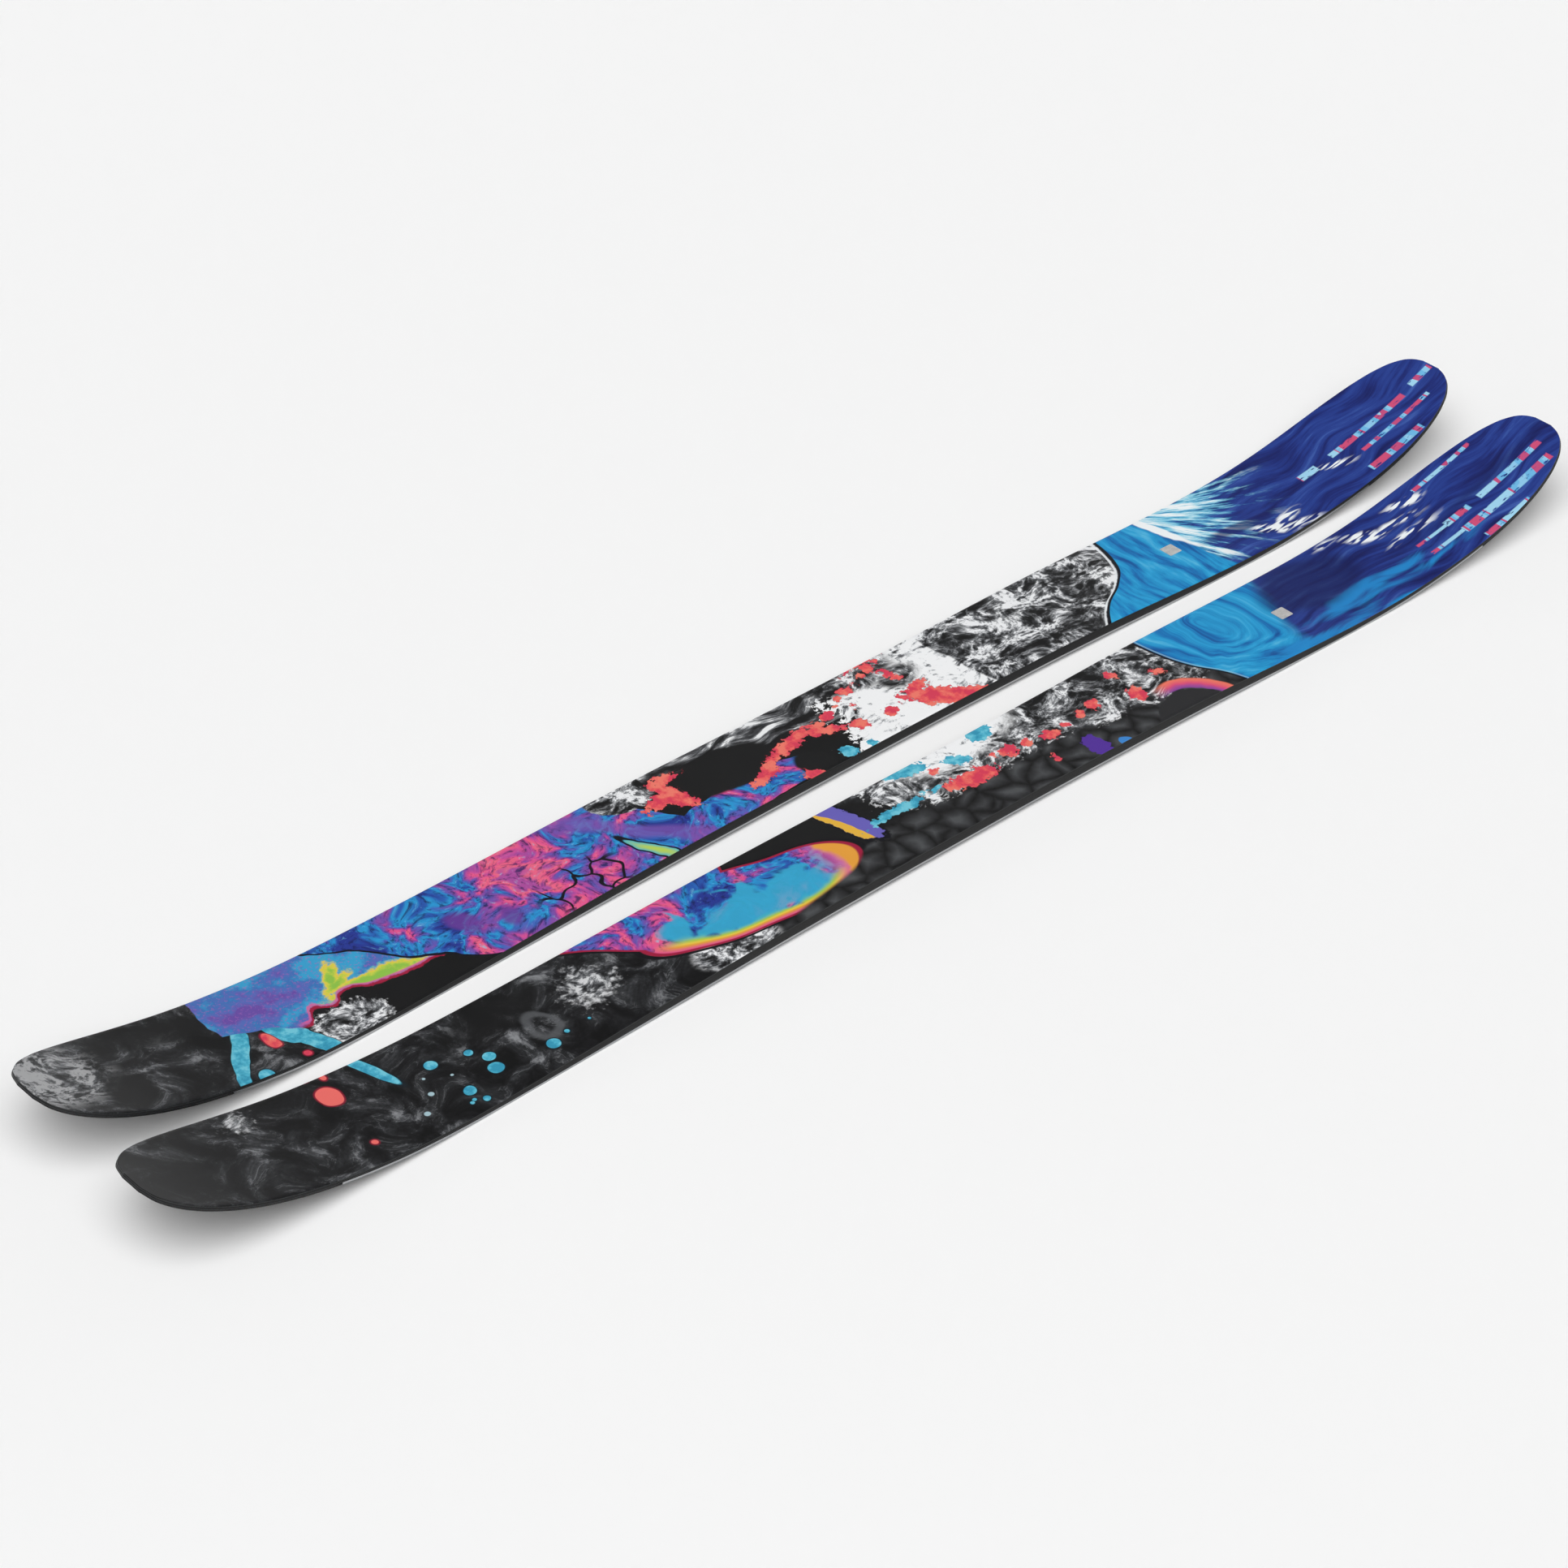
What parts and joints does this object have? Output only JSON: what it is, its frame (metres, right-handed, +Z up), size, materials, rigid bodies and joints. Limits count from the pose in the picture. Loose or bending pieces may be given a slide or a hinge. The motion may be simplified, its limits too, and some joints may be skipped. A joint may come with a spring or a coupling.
{
  "type": "pair of alpine skis",
  "caption": "Pair of flat twin-tip freeride skis with rockered, rounded ends and a marbled topsheet, glued up from base, edges, core, sidewalls and laminates.",
  "frame": {"origin": "on the floor, at the middle of the box around both skis", "axes": "+X from the tips to the tails, +Z up, so the left ski lies towards -Y"},
  "size_m": [1.8, 0.2876, 0.0749],
  "materials": {
    "topsheet": "satin clear coat over an abstract marbled print of black, blue, cyan and violet",
    "base": "black sintered polyethylene, stone ground and waxed",
    "steel": "ground edge steel",
    "rubber": "thin damping foil",
    "laminate": "glass fibre in black-tinted epoxy",
    "light_wood": "planed poplar",
    "dark_wood": "planed ash",
    "sidewall": "black ABS, milled and polished",
    "spacer": "black ABS sheet",
    "plate": "rolled aluminium sheet",
    "label": "plain silver foil"
  },
  "bodies": {
    "left_ski": {"left_ski_base_sheet": "base", "left_ski_lower_laminate": "laminate", "left_ski_tip_spacer": "spacer", "left_ski_tail_spacer": "spacer", "left_ski_binding_plate": "plate", "left_ski_upper_laminate": "laminate", "left_ski_topsheet": "topsheet", "left_ski_label": "label", "left_ski_core_stave_1": "dark_wood", "left_ski_core_stave_2": "light_wood", "left_ski_core_stave_3": "dark_wood", "left_ski_core_stave_4": "light_wood", "left_ski_core_stave_5": "dark_wood", "left_ski_inner_steel_edge": "steel", "left_ski_inner_edge_rubber": "rubber", "left_ski_inner_sidewall": "sidewall", "left_ski_outer_steel_edge": "steel", "left_ski_outer_edge_rubber": "rubber", "left_ski_outer_sidewall": "sidewall"},
    "right_ski": {"right_ski_base_sheet": "base", "right_ski_lower_laminate": "laminate", "right_ski_tip_spacer": "spacer", "right_ski_tail_spacer": "spacer", "right_ski_binding_plate": "plate", "right_ski_upper_laminate": "laminate", "right_ski_topsheet": "topsheet", "right_ski_label": "label", "right_ski_core_stave_1": "dark_wood", "right_ski_core_stave_2": "light_wood", "right_ski_core_stave_3": "dark_wood", "right_ski_core_stave_4": "light_wood", "right_ski_core_stave_5": "dark_wood", "right_ski_inner_steel_edge": "steel", "right_ski_inner_edge_rubber": "rubber", "right_ski_inner_sidewall": "sidewall", "right_ski_outer_steel_edge": "steel", "right_ski_outer_edge_rubber": "rubber", "right_ski_outer_sidewall": "sidewall"}
  },
  "joints": [
    {"name": "right_ski_lift", "type": "slide", "parent": "left_ski", "child": "right_ski", "axis": [0, 0, 1], "range_m": [0, 0.3]}
  ]
}
